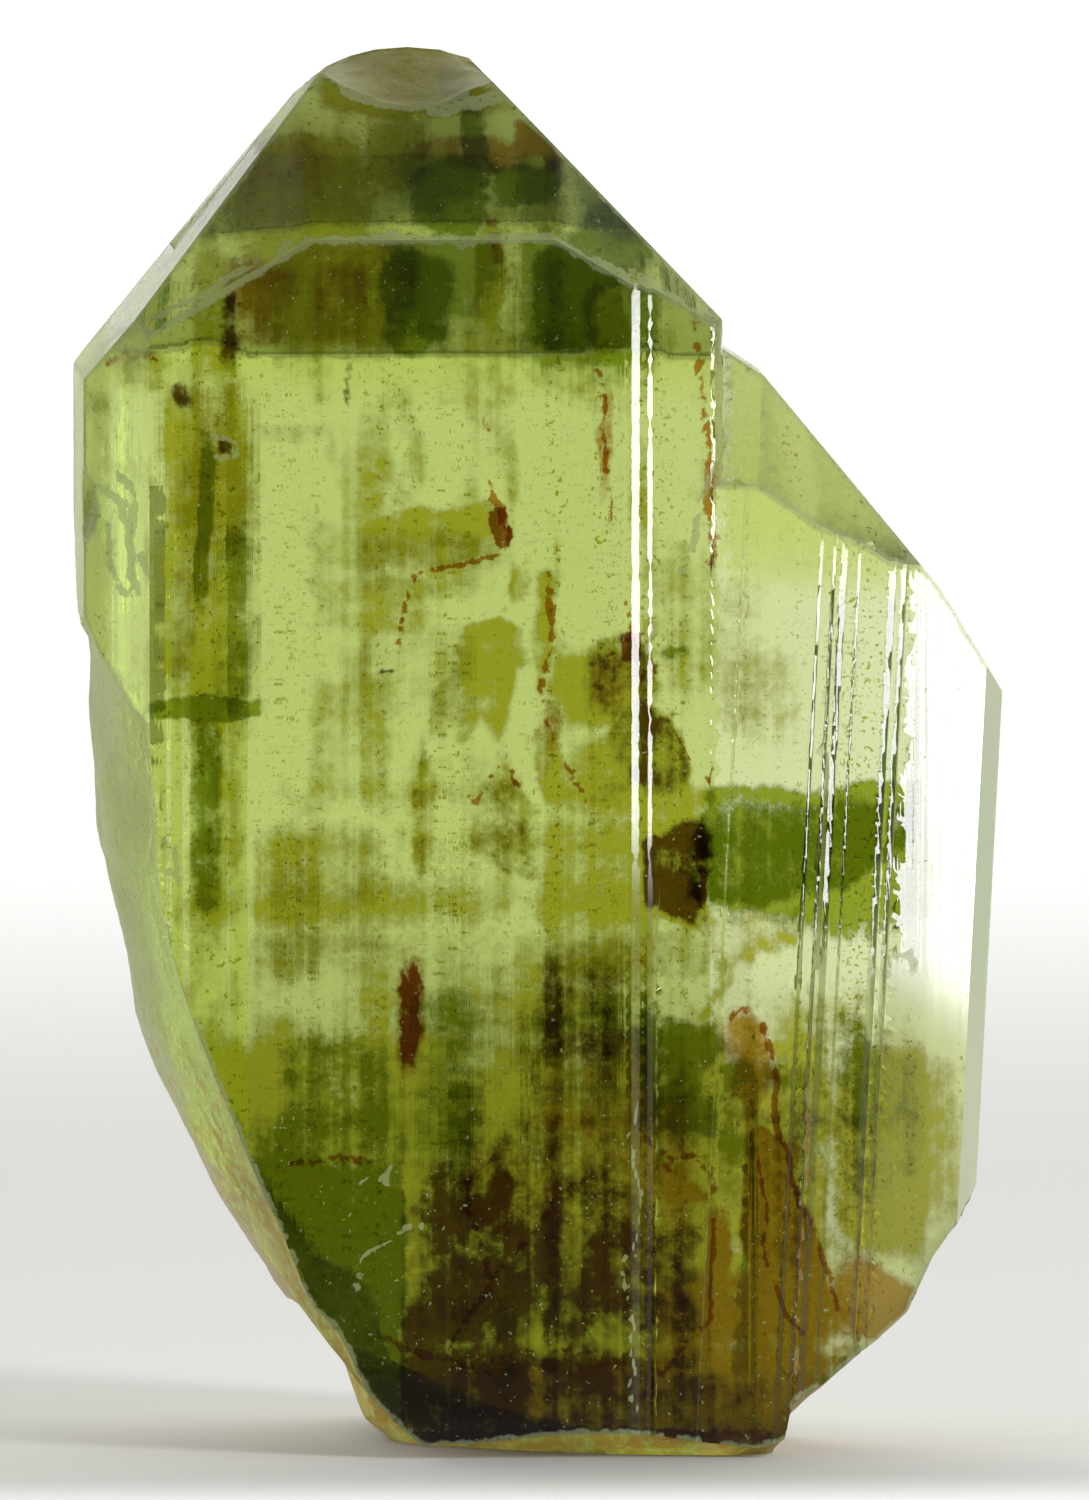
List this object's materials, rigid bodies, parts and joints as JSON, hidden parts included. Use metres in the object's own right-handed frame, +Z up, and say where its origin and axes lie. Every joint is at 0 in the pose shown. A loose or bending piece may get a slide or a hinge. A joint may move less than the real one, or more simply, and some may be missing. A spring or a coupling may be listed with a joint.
{
  "type": "forsterite crystal",
  "caption": "Clear yellow-green forsterite crystal: a stout striated prism under a roof of end faces, with a smaller crystal grown into its side, broken off at the foot.",
  "frame": {"origin": "middle of the footprint of the whole crystal, on the surface it stands on", "axes": "+Z up along the prism; -Y is out of the broad front face, +X towards the smaller crystal"},
  "size_m": [0.0236, 0.012, 0.0359],
  "materials": {
    "crystal": "clear yellow-green, bright faces, frosted and stained where broken"
  },
  "bodies": {
    "root": {"crystal": "crystal"}
  },
  "joints": []
}
